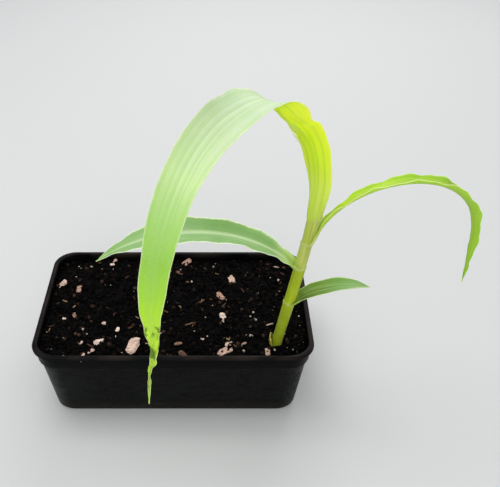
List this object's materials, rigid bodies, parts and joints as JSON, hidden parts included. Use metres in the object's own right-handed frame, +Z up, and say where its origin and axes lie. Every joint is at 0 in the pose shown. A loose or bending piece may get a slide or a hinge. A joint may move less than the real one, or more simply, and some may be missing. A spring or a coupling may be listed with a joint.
{
  "type": "young maize plant in a pot",
  "caption": "Young sweet maize seedling with arching strap leaves on a short sheathed stem, in a black rectangular nursery pot of compost.",
  "frame": {"origin": "middle of the pot's flat underside", "axes": "+Z up, +X along the pot's long side towards the plant's corner, -Y towards the side that the big leaf hangs over"},
  "size_m": [0.2646, 0.2124, 0.2416],
  "materials": {
    "black_plastic": "thin moulded black plastic with a soft shine",
    "compost": "moist dark peat-like compost with bark chips and pale grains",
    "sheath": "smooth olive to pale green leaf sheaths with fine ribs",
    "papery_scale": "dry papery straw-coloured scale",
    "leaf": "pale glaucous green above, bright yellow-green below, finely veined",
    "young_leaf": "pale young green, finely veined"
  },
  "bodies": {
    "root": {"pot": "black_plastic", "compost": "compost", "stem": "sheath", "coleoptile": "papery_scale", "leaf_1": "leaf", "leaf_2_rising": "leaf", "leaf_2_drooping": "leaf", "leaf_3_rising": "leaf", "leaf_3_drooping": "leaf", "leaf_4_rising": "leaf", "leaf_4_arch": "leaf", "leaf_4_hanging": "leaf", "leaf_5": "young_leaf"}
  },
  "joints": []
}
